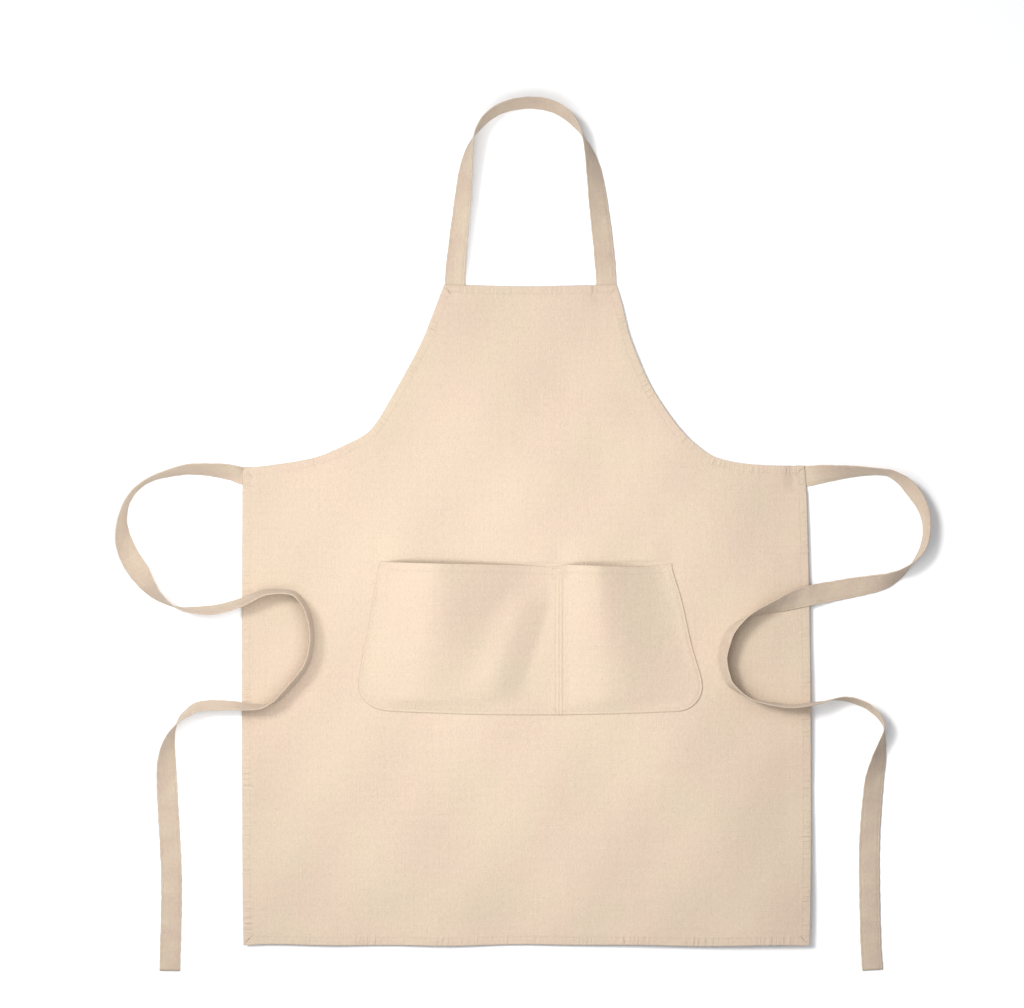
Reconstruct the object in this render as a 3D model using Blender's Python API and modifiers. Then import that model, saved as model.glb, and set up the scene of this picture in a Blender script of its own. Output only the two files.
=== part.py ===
"""Bib apron of undyed cotton canvas, laid out flat on its back, face up.

One panel of canvas with turned hems, a kangaroo pocket with a sewn divider, a neck strap, two waist
ties, and the sewing threads that hold them together. Metres, +Z up, +Y towards the neck. The origin is
under the middle of the panel and neck strap together, on the surface that the apron lies on.
"""
import math

import bmesh
import bpy
from mathutils import Vector

# Cloth
CLOTH = 0.0005              # one layer of canvas
HEM_LAYERS = 3              # a turned hem is three layers thick
HEM_WIDTH = 0.011           # the same on every edge of the panel
HEM_STEP = 0.0005           # run of the step from the hem down to the single layer
GAP = 0.0003                # air between pieces that touch
ROOT_GAP = 0.0006           # air between a hem's edge and the strap that comes out from behind it

# Panel
SKIRT_WIDTH = 0.700
PANEL_LENGTH = 0.817        # bottom hem to the top of the bib
BIB_WIDTH = 0.2133
BIB_HEIGHT = 0.225          # top of the bib to the waist ties
BIB_SHIFT = 0.0068          # the bib lies a little to the right of the skirt's middle
ARMHOLE_STEPS = 22
ARMHOLE_HANDLES = {         # handles of the armhole curve, out and down from the bib's corner
    -1: ((0.054, 0.150), (0.086, 0.225)),
    1: ((0.048, 0.160), (0.074, 0.225)),
}

# Pocket
POCKET_DROP = 0.3465        # top of the bib to the pocket's mouth
POCKET_HEIGHT = 0.1855
POCKET_MOUTH_WIDTH = 0.3615
POCKET_FOOT_WIDTH = 0.4255
POCKET_MOUTH_X = 0.001
POCKET_FOOT_X = 0.0065
POCKET_CORNER = 0.018       # radius of the two lower corners
POCKET_CLOTH = 0.001        # the pocket's edges are folded under, so it is two layers
POCKET_BULGE = 0.010        # how far each compartment's mouth stands open
POCKET_SEAM = 0.004         # flat strip along the seams
DIVIDER_X = 0.045           # the divider is sewn right of the middle
COMPARTMENT_COLUMNS = 14
POCKET_ROWS = 13

# Straps
STRAP_WIDTH = 0.0254
STRAP_THICK = 0.0015
STRAP_LIFT = 0.0014         # room for the stitches on a strap's underside
NECK_INSET = 0.0005         # each leg of the neck strap sits this far in from the bib's corner
NECK_LOOP_HEIGHT = 0.2245   # top of the bib to the middle of the strap at the back of the neck
NECK_LOOP_CREST = 0.0080    # the strap's outer edge stands this far beyond its middle at the back
NECK_STATIONS = 56
TIE_STATIONS = 80
ROLL_SPACING = 0.045        # a radian of roll gets as many stations as this length of strap
TIE_ROOT_DROP = 0.0125      # end of the armhole down to the middle of the tie
EDGE_RAMP = 0.030           # a tie climbs onto the panel over this distance
ROOT_FLAT = 0.060           # the first stretch of a tie stays down on the surface

# Thread
THREAD_RADIUS = 0.00025
ROW_FROM_STEP = 0.0015      # hem stitching lies this far outside the hem's inner edge
STRAP_ROW_INSET = 0.003     # topstitching along the edges of a strap
STRAP_ROW_GAP = 0.0006      # air under that topstitching, wider because the strap twists under it
POCKET_ROW_INSET = 0.003
MOUTH_ROW_DROP = 0.005
DIVIDER_ROW_GAP = 0.0045
BARTACK_WIDTH = 0.019
BARTACK_HEIGHT = 0.010
BARTACK_DROP = 0.0015       # below the mouth's stitching
ANCHOR_MARGIN = 0.002       # box stitch of a strap, in from the strap's sides and the hem's edge
ANCHOR_DEPTH = 0.0055       # box stitch, across the hem
ROW_CLEAR = 0.0015          # two rows of stitching end this far apart

# Values that follow from the sizes above
HEM_THICK = HEM_LAYERS * CLOTH
TOTAL_LENGTH = PANEL_LENGTH + NECK_LOOP_HEIGHT + NECK_LOOP_CREST
BOTTOM_Y = -TOTAL_LENGTH / 2
TOP_Y = BOTTOM_Y + PANEL_LENGTH
WAIST_Y = TOP_Y - BIB_HEIGHT
SIDE_X = SKIRT_WIDTH / 2
ROW_INSET = HEM_WIDTH - ROW_FROM_STEP
ROW_Z = HEM_THICK + GAP + THREAD_RADIUS
LEG_SPREAD = BIB_WIDTH / 2 - NECK_INSET - STRAP_WIDTH / 2
MOUTH_Y = TOP_Y - POCKET_DROP
FOOT_Y = MOUTH_Y - POCKET_HEIGHT
TIE_Y = WAIST_Y - TIE_ROOT_DROP
FOLD_Z = STRAP_LIFT + STRAP_THICK + GAP     # a strap folds up over its root about this height

# Route of the neck strap from the left leg to the right: across as a share of the legs' spread, up as a
# share of the loop's height, and roll in degrees. Roll 0 lies face up, -90 stands on its outer edge.
NECK_ROUTE = [
    (-1.000, 0.000, 0), (-1.000, 0.030, -4), (-0.991, 0.088, -12), (-0.972, 0.176, -22), (-0.951, 0.264, -27),
    (-0.927, 0.353, -31), (-0.903, 0.441, -35), (-0.881, 0.529, -40), (-0.858, 0.617, -48),
    (-0.824, 0.705, -61), (-0.776, 0.782, -79), (-0.709, 0.848, -98), (-0.594, 0.910, -111),
    (-0.442, 0.958, -118), (-0.263, 0.986, -122), (-0.065, 0.999, -125), (0.134, 0.996, -125),
    (0.319, 0.975, -123), (0.484, 0.932, -116), (0.610, 0.874, -104), (0.702, 0.804, -84),
    (0.769, 0.733, -64), (0.819, 0.656, -47), (0.856, 0.573, -35), (0.888, 0.474, -25),
    (0.921, 0.366, -17), (0.956, 0.242, -9), (0.984, 0.121, -4), (1.000, 0.030, -1), (1.000, 0.000, 0),
]

# Routes of the ties from the side hem to the free end: across and up from the root, and roll in degrees.
LEFT_TIE_ROUTE = [
    (0.0000, 0.0000, 0), (-0.0060, 0.0000, -12), (-0.0140, 0.0020, -30), (-0.0285, 0.0055, -48), (-0.0495, 0.0075, -55),
    (-0.0730, 0.0065, -63), (-0.0965, 0.0015, -73), (-0.1150, -0.0045, -80), (-0.1325, -0.0160, -77),
    (-0.1445, -0.0335, -73), (-0.1510, -0.0545, -62), (-0.1500, -0.0730, -46), (-0.1455, -0.0885, -31),
    (-0.1375, -0.1035, -16), (-0.1280, -0.1180, 6), (-0.1175, -0.1330, 34), (-0.1050, -0.1470, 60),
    (-0.0930, -0.1560, 77), (-0.0805, -0.1625, 90), (-0.0645, -0.1655, 105), (-0.0320, -0.1650, 116),
    (0.0000, -0.1560, 113), (0.0295, -0.1440, 104), (0.0595, -0.1440, 99), (0.0725, -0.1535, 100),
    (0.0815, -0.1700, 100), (0.0860, -0.1905, 100), (0.0855, -0.2115, 100), (0.0805, -0.2305, 101),
    (0.0710, -0.2465, 103), (0.0465, -0.2735, 101), (0.0340, -0.2815, 90), (0.0185, -0.2855, 77),
    (-0.0160, -0.2835, 65), (-0.0520, -0.2845, 62), (-0.0680, -0.2930, 70), (-0.0790, -0.3035, 83),
    (-0.0895, -0.3245, 114), (-0.0935, -0.3535, 150), (-0.0925, -0.4000, 172), (-0.0880, -0.4995, 180),
    (-0.0900, -0.6120, 180),
]
RIGHT_TIE_ROUTE = [
    (0.0000, 0.0000, 0), (0.0060, 0.0000, 8), (0.0150, 0.0015, 22), (0.0280, 0.0030, 37), (0.0635, 0.0055, 61),
    (0.0970, 0.0045, 76), (0.1100, 0.0000, 69), (0.1220, -0.0080, 58), (0.1325, -0.0200, 52),
    (0.1415, -0.0335, 58), (0.1470, -0.0475, 68), (0.1490, -0.0630, 74), (0.1475, -0.0790, 76),
    (0.1420, -0.0940, 79), (0.1325, -0.1065, 90), (0.1210, -0.1175, 108), (0.1070, -0.1260, 128),
    (0.0910, -0.1320, 146), (0.0515, -0.1395, 168), (0.0045, -0.1480, 174), (-0.0140, -0.1530, 152),
    (-0.0320, -0.1590, 132), (-0.0625, -0.1695, 103), (-0.0760, -0.1770, 90), (-0.0875, -0.1865, 75),
    (-0.0955, -0.1975, 67), (-0.1030, -0.2240, 66), (-0.0970, -0.2505, 72), (-0.0885, -0.2615, 79),
    (-0.0760, -0.2705, 87), (-0.0600, -0.2775, 94), (-0.0190, -0.2840, 97), (0.0180, -0.2795, 93),
    (0.0330, -0.2760, 86), (0.0475, -0.2750, 76), (0.0625, -0.2785, 73), (0.0760, -0.2845, 73),
    (0.0870, -0.2935, 77), (0.0945, -0.3040, 84), (0.0965, -0.3145, 94), (0.0920, -0.3395, 128),
    (0.0885, -0.3575, 145), (0.0840, -0.3830, 162), (0.0790, -0.4630, 178), (0.0805, -0.5685, 180),
    (0.0830, -0.6110, 180),
]


# ---------------------------------------------------------------- scene, materials, small helpers

def clear_scene():
    """Remove everything that is in the file."""
    for obj in list(bpy.data.objects):
        bpy.data.objects.remove(obj, do_unlink=True)


def make_collection(name):
    collection = bpy.data.collections.new(name)
    bpy.context.scene.collection.children.link(collection)
    return collection


def make_material(name, colour, roughness):
    """A Principled material; canvas and cotton thread aren't metallic."""
    material = bpy.data.materials.new(name)
    material.use_nodes = True
    shader = material.node_tree.nodes["Principled BSDF"]
    shader.inputs["Base Color"].default_value = (*colour, 1.0)
    shader.inputs["Roughness"].default_value = roughness
    shader.inputs["Metallic"].default_value = 0.0
    return material


def add_object(name, data, material, pivot):
    """Link an object whose coordinates are already those of its pivot."""
    obj = bpy.data.objects.new(name, data)
    data.materials.append(material)
    apron.objects.link(obj)
    obj.parent = pivot
    return obj


def make_pivot(name, location):
    """An empty on a joint's axis; the pieces that move with it are its children."""
    pivot = bpy.data.objects.new(name, None)
    pivot.location = location
    pivot.empty_display_size = 0.03
    apron.objects.link(pivot)
    return pivot


def smoothstep(t):
    t = min(max(t, 0.0), 1.0)
    return t * t * (3 - 2 * t)


def poly_curve(name, points, material, pivot, tilts=None, cyclic=False):
    """A poly spline through the points, given in world coordinates."""
    curve = bpy.data.curves.new(name, "CURVE")
    curve.dimensions = "3D"
    curve.twist_mode = "Z_UP"
    curve.render_resolution_u = 0
    curve.bevel_resolution = 0
    curve.use_fill_caps = not cyclic
    spline = curve.splines.new("POLY")
    spline.points.add(len(points) - 1)
    for index, (target, point) in enumerate(zip(spline.points, points)):
        target.co = (*(Vector(point) - pivot.location), 1.0)
        target.tilt = tilts[index] if tilts else 0.0
    spline.use_cyclic_u = cyclic
    return curve, add_object(name, curve, material, pivot)


def thread(name, points, pivot, cyclic=False):
    """A row of stitching as one length of thread."""
    curve, obj = poly_curve(name, points, thread_cotton, pivot, cyclic=cyclic)
    curve.bevel_depth = THREAD_RADIUS
    return obj


def box_stitch(name, x0, x1, y0, y1, z, pivot):
    """A closed rectangle of stitching."""
    corners = [(x0, y0, z), (x1, y0, z), (x1, y1, z), (x0, y1, z)]
    return thread(name, corners, pivot, cyclic=True)


# ---------------------------------------------------------------- panel

def armhole(side):
    """Points of one armhole from the bib's corner to the side of the skirt, by a cubic Bezier curve."""
    corner = Vector((BIB_SHIFT + side * BIB_WIDTH / 2, TOP_Y))
    end = Vector((side * SIDE_X, WAIST_Y))
    (out_a, down_a), (out_b, down_b) = ARMHOLE_HANDLES[side]
    handle_a = corner + Vector((side * out_a, -down_a))
    handle_b = Vector((corner.x + side * out_b, TOP_Y - down_b * BIB_HEIGHT / down_b))
    points = []
    for step in range(ARMHOLE_STEPS + 1):
        t = step / ARMHOLE_STEPS
        points.append((1 - t) ** 3 * corner + 3 * (1 - t) ** 2 * t * handle_a
                      + 3 * (1 - t) * t ** 2 * handle_b + t ** 3 * end)
    return points


def offset_line(points, distance, closed=False):
    """The line moved to its left by a distance, with mitred corners."""
    count = len(points)
    moved = []
    for index, point in enumerate(points):
        before = points[index - 1] if closed or index else None
        after = points[(index + 1) % count] if closed or index < count - 1 else None
        back = (point - before).normalized() if before is not None else (after - point).normalized()
        ahead = (after - point).normalized() if after is not None else back
        normal = Vector((-back.y - ahead.y, back.x + ahead.x)).normalized()
        share = normal.dot(Vector((-back.y, back.x)))
        moved.append(point + normal * distance / share)
    return moved


def panel_outline():
    """The panel's edge, anticlockwise from the bottom left corner."""
    right = [Vector((point.x, point.y)) for point in reversed(armhole(1))]
    left = [Vector((point.x, point.y)) for point in armhole(-1)]
    return [Vector((-SIDE_X, BOTTOM_Y)), Vector((SIDE_X, BOTTOM_Y))] + right + left


def main_panel():
    """The apron's one piece of canvas: a thin sheet with a hem of three layers all round."""
    mesh = bpy.data.meshes.new("main_panel")
    bm = bmesh.new()
    rim = [bm.verts.new((point.x, point.y, HEM_THICK)) for point in panel_outline()]
    face = bm.faces.new(rim)
    face.normal_update()
    bmesh.ops.inset_individual(bm, faces=[face], thickness=HEM_WIDTH, use_even_offset=True)
    bmesh.ops.inset_individual(bm, faces=[face], thickness=HEM_STEP, use_even_offset=True)
    for vertex in face.verts:
        vertex.co.z = CLOTH
    border = [edge for edge in bm.edges if edge.is_boundary]
    skirt = bmesh.ops.extrude_edge_only(bm, edges=border)["geom"]
    lower = [item for item in skirt if isinstance(item, bmesh.types.BMVert)]
    for vertex in lower:
        vertex.co.z = 0.0
    loop = [edge for edge in bm.edges if edge.is_boundary]
    bmesh.ops.edgeloop_fill(bm, edges=loop)
    bmesh.ops.recalc_face_normals(bm, faces=bm.faces)
    bm.to_mesh(mesh)
    bm.free()
    return add_object("main_panel", mesh, canvas, ground)


def hem_threads():
    """One row of stitching along the inner edge of each hem."""
    side_row = SIDE_X - ROW_INSET
    low = BOTTOM_Y + ROW_INSET
    thread("bottom_hem_thread", [(-side_row, low, ROW_Z), (side_row, low, ROW_Z)], ground)
    for side, label in ((-1, "left"), (1, "right")):
        top = WAIST_Y - ROW_INSET - ROW_CLEAR
        x = side * side_row
        thread(f"{label}_side_hem_thread", [(x, top, ROW_Z), (x, low + ROW_CLEAR, ROW_Z)], ground)
        row = offset_line([Vector(point) for point in armhole(side)], side * -ROW_INSET)
        keep = [point for point in row if point.y < TOP_Y - ROW_INSET - ROW_CLEAR]
        keep = [point for point in keep if abs(point.x) < side_row - ROW_CLEAR]
        thread(f"{label}_armhole_thread", [(point.x, point.y, ROW_Z) for point in keep], ground)
    reach = BIB_WIDTH / 2 - ROW_INSET
    y = TOP_Y - ROW_INSET
    thread("top_hem_thread", [(BIB_SHIFT - reach, y, ROW_Z), (BIB_SHIFT + reach, y, ROW_Z)], ground)


# ---------------------------------------------------------------- pocket

def pocket_sides(height):
    """Left and right edge of the pocket at a height above its foot, with round lower corners."""
    share = height / POCKET_HEIGHT
    middle = POCKET_FOOT_X + (POCKET_MOUTH_X - POCKET_FOOT_X) * share
    half = (POCKET_FOOT_WIDTH + (POCKET_MOUTH_WIDTH - POCKET_FOOT_WIDTH) * share) / 2
    if height < POCKET_CORNER:
        rest = POCKET_CORNER - height
        half -= POCKET_CORNER - math.sqrt(POCKET_CORNER ** 2 - rest ** 2)
    return middle - half, middle + half


def pocket_height_at(x, height):
    """Underside of the pocket above the panel: each compartment arches up and opens at the mouth."""
    left, right = pocket_sides(height)
    start, end = (left, DIVIDER_X) if x < DIVIDER_X else (DIVIDER_X, right)
    span = end - start - 2 * POCKET_SEAM
    across = min(max((x - start - POCKET_SEAM) / span, 0.0), 1.0)
    along = min(max((height - POCKET_SEAM) / (POCKET_HEIGHT - POCKET_SEAM), 0.0), 1.0)
    return POCKET_BULGE * math.sin(math.pi * across) * math.sin(math.pi / 2 * along)


def on_pocket(x, height, above=0.0):
    """A point on the pocket's underside, or above it, in world coordinates."""
    return Vector((x, FOOT_Y + height, CLOTH + GAP + pocket_height_at(x, height) + above))


def pocket_columns(height):
    """Where the grid's columns cross a height: on both sides of every seam's flat strip, even between."""
    left, right = pocket_sides(height)
    columns = [left]
    for start, end in ((left, DIVIDER_X), (DIVIDER_X, right)):
        first = start + POCKET_SEAM
        span = end - POCKET_SEAM - first
        columns += [first + span * step / COMPARTMENT_COLUMNS for step in range(COMPARTMENT_COLUMNS + 1)]
    return columns + [right]


def pocket_row_height(row):
    """The first row ends the flat strip of the foot's seam; the others crowd towards the round corners."""
    if row == 0:
        return 0.0
    return POCKET_SEAM + (POCKET_HEIGHT - POCKET_SEAM) * ((row - 1) / (POCKET_ROWS - 1)) ** 1.35


def pocket():
    """The kangaroo pocket: a sheet over the skirt with a hollow on each side of the divider."""
    mesh = bpy.data.meshes.new("pocket")
    bm = bmesh.new()
    columns = 2 * COMPARTMENT_COLUMNS + 3
    bmesh.ops.create_grid(bm, x_segments=columns, y_segments=POCKET_ROWS, size=1.0)
    for vertex in bm.verts:
        height = pocket_row_height(round((vertex.co.y + 1) / 2 * POCKET_ROWS))
        x = pocket_columns(height)[round((vertex.co.x + 1) / 2 * columns)]
        vertex.co = on_pocket(x, height)
    bm.to_mesh(mesh)
    bm.free()
    obj = add_object("pocket", mesh, canvas, ground)
    wall = obj.modifiers.new("cloth", "SOLIDIFY")
    wall.thickness = POCKET_CLOTH
    wall.offset = 1.0
    return obj


def pocket_threads():
    """Mouth hem, outer seam, divider and its tack at the mouth."""
    above = POCKET_CLOTH + GAP + 2 * THREAD_RADIUS
    mouth_row = POCKET_HEIGHT - MOUTH_ROW_DROP
    left, right = pocket_sides(mouth_row)
    left += POCKET_ROW_INSET
    right -= POCKET_ROW_INSET
    steps = 40
    points = [on_pocket(left + (right - left) * step / steps, mouth_row, above) for step in range(steps + 1)]
    thread("pocket_mouth_thread", points, ground)

    start = mouth_row - ROW_CLEAR
    down = [start - (start - POCKET_CORNER) * step / 6 for step in range(7)]
    corner = [POCKET_CORNER - (POCKET_CORNER - POCKET_ROW_INSET) * math.sin(math.radians(angle))
              for angle in (20, 40, 60, 75, 90)]
    edge = []
    for height in down + corner:
        inner = POCKET_CORNER - POCKET_ROW_INSET
        rest = max(POCKET_CORNER - height, 0.0)
        pulled = inner - math.sqrt(max(inner ** 2 - rest ** 2, 0.0))
        share = height / POCKET_HEIGHT
        half = (POCKET_FOOT_WIDTH + (POCKET_MOUTH_WIDTH - POCKET_FOOT_WIDTH) * share) / 2
        middle = POCKET_FOOT_X + (POCKET_MOUTH_X - POCKET_FOOT_X) * share
        edge.append((middle, half - POCKET_ROW_INSET - pulled, height))
    path = [on_pocket(middle - half, height, above) for middle, half, height in edge]
    path += [on_pocket(middle + half, height, above) for middle, half, height in reversed(edge)]
    thread("pocket_edge_thread", path, ground)

    tack_top = mouth_row - BARTACK_DROP
    tack_foot = tack_top - BARTACK_HEIGHT
    half = BARTACK_WIDTH / 2
    round_tack = [on_pocket(DIVIDER_X + across * half, height, above)
                  for across, height in ((-1, tack_top), (-0.5, tack_top), (0, tack_top), (0.5, tack_top),
                                         (1, tack_top), (1, tack_foot), (0.5, tack_foot), (0, tack_foot),
                                         (-0.5, tack_foot), (-1, tack_foot))]
    thread("pocket_bartack_thread", round_tack, ground, cyclic=True)

    rows_top = tack_foot - ROW_CLEAR
    rows_foot = POCKET_ROW_INSET + ROW_CLEAR + 2 * THREAD_RADIUS
    gap = DIVIDER_ROW_GAP / 2
    divider = [on_pocket(DIVIDER_X - gap, rows_top, above), on_pocket(DIVIDER_X - gap, rows_foot, above),
               on_pocket(DIVIDER_X + gap, rows_foot, above), on_pocket(DIVIDER_X + gap, rows_top, above)]
    thread("pocket_divider_thread", divider, ground)


# ---------------------------------------------------------------- straps

def smooth_route(route, stations):
    """Stations on a Catmull-Rom curve through a route's points, closer together where it rolls over.

    Gives (x, y, roll) at each station and the distance run in plan to each.
    """
    points = [Vector(point) for point in route]
    points = [2 * points[0] - points[1]] + points + [2 * points[-1] - points[-2]]
    fine = []
    parts = 12
    for a, b, c, d in zip(points, points[1:], points[2:], points[3:]):
        for step in range(parts):
            t = step / parts
            fine.append(0.5 * (2 * b + (c - a) * t + (2 * a - 5 * b + 4 * c - d) * t ** 2
                               + (3 * b - a - 3 * c + d) * t ** 3))
    fine.append(points[-2])
    runs = [0.0]
    marks = [0.0]
    for a, b in zip(fine, fine[1:]):
        plan = (b.xy - a.xy).length
        runs.append(runs[-1] + plan)
        marks.append(marks[-1] + math.hypot(plan, ROLL_SPACING * math.radians(b.z - a.z)))
    chosen = []
    chosen_runs = []
    index = 0
    for station in range(stations):
        mark = marks[-1] * station / (stations - 1)
        while index < len(marks) - 2 and marks[index + 1] < mark:
            index += 1
        share = (mark - marks[index]) / (marks[index + 1] - marks[index])
        chosen.append(fine[index].lerp(fine[index + 1], share))
        chosen_runs.append(runs[index] + share * (runs[index + 1] - runs[index]))
    return chosen, chosen_runs


def support(x, y, run):
    """Height that a tie lies on: the surface, the panel's hem, or the pocket, with ramps between."""
    onto_panel = smoothstep((SIDE_X + EDGE_RAMP / 3 - abs(x)) / EDGE_RAMP * 1.5)
    panel = HEM_THICK * onto_panel * smoothstep((run - ROOT_FLAT) / ROOT_FLAT)
    reach = POCKET_FOOT_WIDTH / 2 + EDGE_RAMP
    over_x = smoothstep((reach - abs(x - POCKET_FOOT_X)) / EDGE_RAMP)
    over_y = smoothstep((MOUTH_Y + EDGE_RAMP - y) / EDGE_RAMP) * smoothstep((y - FOOT_Y + EDGE_RAMP) / EDGE_RAMP)
    return panel + (POCKET_BULGE + POCKET_CLOTH) * over_x * over_y


def strap_frames(stations, lift):
    """Centre, across and face directions of a strap that stands on its lower edge at each station."""
    centres = []
    for station, height in zip(stations, lift):
        roll = math.radians(station.z)
        z = height + STRAP_LIFT + STRAP_WIDTH / 2 * abs(math.sin(roll)) + STRAP_THICK / 2 * abs(math.cos(roll))
        centres.append(Vector((station.x, station.y, z)))
    frames = []
    for index, centre in enumerate(centres):
        back = (centre - centres[index - 1]).normalized() if index else Vector()
        ahead = (centres[index + 1] - centre).normalized() if index < len(centres) - 1 else Vector()
        tangent = (back + ahead).normalized()
        left = Vector((0, 0, 1)).cross(tangent).normalized()
        up = tangent.cross(left)
        roll = math.radians(stations[index].z)
        across = math.cos(roll) * left + math.sin(roll) * up
        frames.append((centre, across, tangent.cross(across), roll))
    return frames


def strap(name, frames, pivot):
    """A flat strap: a spline extruded to the strap's width, with its tilt as the roll."""
    points = [frame[0] for frame in frames]
    tilts = [frame[3] - math.pi / 2 for frame in frames]
    curve, obj = poly_curve(name, points, strap_cotton, pivot, tilts=tilts)
    curve.bevel_depth = STRAP_THICK / 2
    curve.extrude = (STRAP_WIDTH - STRAP_THICK) / 2
    return obj


def strap_thread(name, frames, pivot):
    """Topstitching on a strap's face: out along one edge, across the end, and back along the other."""
    reach = STRAP_WIDTH / 2 - STRAP_ROW_INSET
    stand = STRAP_THICK / 2 + STRAP_ROW_GAP + THREAD_RADIUS
    inner = frames[1:-1]
    out = [centre + across * reach + face * stand for centre, across, face, roll in inner]
    back = [centre - across * reach + face * stand for centre, across, face, roll in inner]
    return thread(name, out + back[::-1], pivot)


def neck_strap():
    """The strap round the neck, a loop from one corner of the bib to the other."""
    pivot = make_pivot("neck_strap_fold_axis", (BIB_SHIFT, TOP_Y, FOLD_Z))
    route = [(BIB_SHIFT + LEG_SPREAD * across, TOP_Y + ROOT_GAP + NECK_LOOP_HEIGHT * up, roll)
             for across, up, roll in NECK_ROUTE]
    stations, runs = smooth_route(route, NECK_STATIONS)
    frames = strap_frames(stations, [0.0] * NECK_STATIONS)
    strap("neck_strap", frames, pivot)
    strap_thread("neck_strap_thread", frames, pivot)
    for side, label in ((-1, "left"), (1, "right")):
        middle = BIB_SHIFT + side * LEG_SPREAD
        half = STRAP_WIDTH / 2 - ANCHOR_MARGIN
        y = TOP_Y - ANCHOR_MARGIN
        box_stitch(f"neck_strap_{label}_anchor_thread", middle - half, middle + half, y - ANCHOR_DEPTH, y,
                   ROW_Z, ground)
    return runs[-1]


def waist_tie(label, side, route):
    """A tie sewn behind the side hem, lying in a loop over the skirt and away down the surface."""
    root = Vector((side * (SIDE_X + ROOT_GAP), TIE_Y))
    placed = [(root.x + across, root.y + up, roll) for across, up, roll in route]
    stations, runs = smooth_route(placed, TIE_STATIONS)
    lift = [support(station.x, station.y, run) for station, run in zip(stations, runs)]
    frames = strap_frames(stations, lift)
    highest = max(centre.y + abs(across.y) * STRAP_WIDTH / 2 for centre, across, face, roll in frames)
    pivot = make_pivot(f"{label}_tie_lift_axis", (side * SIDE_X, highest, FOLD_Z))
    strap(f"{label}_waist_tie", frames, pivot)
    strap_thread(f"{label}_tie_thread", frames, pivot)
    half = STRAP_WIDTH / 2 - ANCHOR_MARGIN
    outer = side * (SIDE_X - ANCHOR_MARGIN)
    inner = outer - side * ANCHOR_DEPTH
    box_stitch(f"{label}_tie_anchor_thread", min(outer, inner), max(outer, inner), TIE_Y - half, TIE_Y + half,
               ROW_Z, ground)
    return runs[-1]


# ---------------------------------------------------------------- assembly

clear_scene()
apron = make_collection("bib_apron")
canvas = make_material("canvas", (0.80, 0.67, 0.53), 0.92)
strap_cotton = make_material("strap_cotton", (0.75, 0.62, 0.48), 0.90)
thread_cotton = make_material("thread_cotton", (0.82, 0.71, 0.57), 0.80)
ground = make_pivot("apron_origin", (0.0, 0.0, 0.0))

main_panel()
hem_threads()
pocket()
pocket_threads()
neck_length = neck_strap()
left_length = waist_tie("left", -1, LEFT_TIE_ROUTE)
right_length = waist_tie("right", 1, RIGHT_TIE_ROUTE)
print(f"neck strap {neck_length:.3f} m, left tie {left_length:.3f} m, right tie {right_length:.3f} m")
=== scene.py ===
"""Bib apron of undyed cotton canvas, laid out face up, with a divided pocket, a neck strap and two ties.

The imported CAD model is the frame. Every piece below stands for one of its nodes, in metres, in its place.
"""
import math

import bpy
import numpy as np
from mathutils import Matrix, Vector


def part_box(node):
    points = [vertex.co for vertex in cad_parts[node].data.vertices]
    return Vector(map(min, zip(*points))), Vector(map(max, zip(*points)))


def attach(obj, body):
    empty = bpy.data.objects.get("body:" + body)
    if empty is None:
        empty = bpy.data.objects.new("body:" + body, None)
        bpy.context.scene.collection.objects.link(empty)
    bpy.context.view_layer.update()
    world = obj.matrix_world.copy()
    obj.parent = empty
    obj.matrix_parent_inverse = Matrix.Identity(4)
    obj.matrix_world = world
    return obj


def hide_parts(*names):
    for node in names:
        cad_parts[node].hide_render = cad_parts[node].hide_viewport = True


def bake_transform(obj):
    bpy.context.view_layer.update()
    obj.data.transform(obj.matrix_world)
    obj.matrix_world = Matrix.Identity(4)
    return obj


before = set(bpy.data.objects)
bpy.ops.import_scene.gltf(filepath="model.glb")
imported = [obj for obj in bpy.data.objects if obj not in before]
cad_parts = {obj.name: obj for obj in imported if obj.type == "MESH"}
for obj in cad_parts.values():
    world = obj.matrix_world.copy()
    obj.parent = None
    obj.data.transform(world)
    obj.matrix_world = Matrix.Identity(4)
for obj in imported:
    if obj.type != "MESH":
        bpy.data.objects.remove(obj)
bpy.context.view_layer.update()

# ================================================================ the panel
# One piece of plain-weave cotton canvas, cut with a bib, two armholes and a straight skirt. Every edge is
# turned twice to the back, so a hem is three layers thick. It lies loosely on the floor in shallow waves.

CLOTH = 0.0005
HEM = 0.0015
HEM_WIDTH = 0.011
HEM_ROW = 0.0095             # hem stitching, in from the edge
HEM_FURROW = 0.00016         # how deep that stitching draws in
HEM_STEP = 0.00010           # the ridge that the hem's inner edge shows through to the face
AIR = 0.0002                 # between pieces that touch
TAB_LENGTH = 0.013           # a strap's end goes this far in behind the hem
TAB_RISE = 0.0017            # and lifts the hem by this

TOP_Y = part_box("main_panel")[1][1]
STRAP_WIDTH = 0.0254
STRAP_THICK = 0.0015
TIE_Y = TOP_Y - 0.2360       # middle of each waist tie at the side hem
MOUTH_Y = TOP_Y - 0.3430     # the pocket's corners
NECK_MIDDLE = 0.0068
NECK_SPREAD = 0.0935         # from there to the middle of each leg

# Steps in from an edge, close together over the hem
EDGE_STEPS = 0.001 * np.array([0, 0.35, 0.8, 1.5, 2.4, 3.4, 4.6, 6, 7.4, 8.6, 9.5, 10.3, 11.0, 11.8,
                               13.0, 15.0, 18.0, 23.0])

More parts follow.
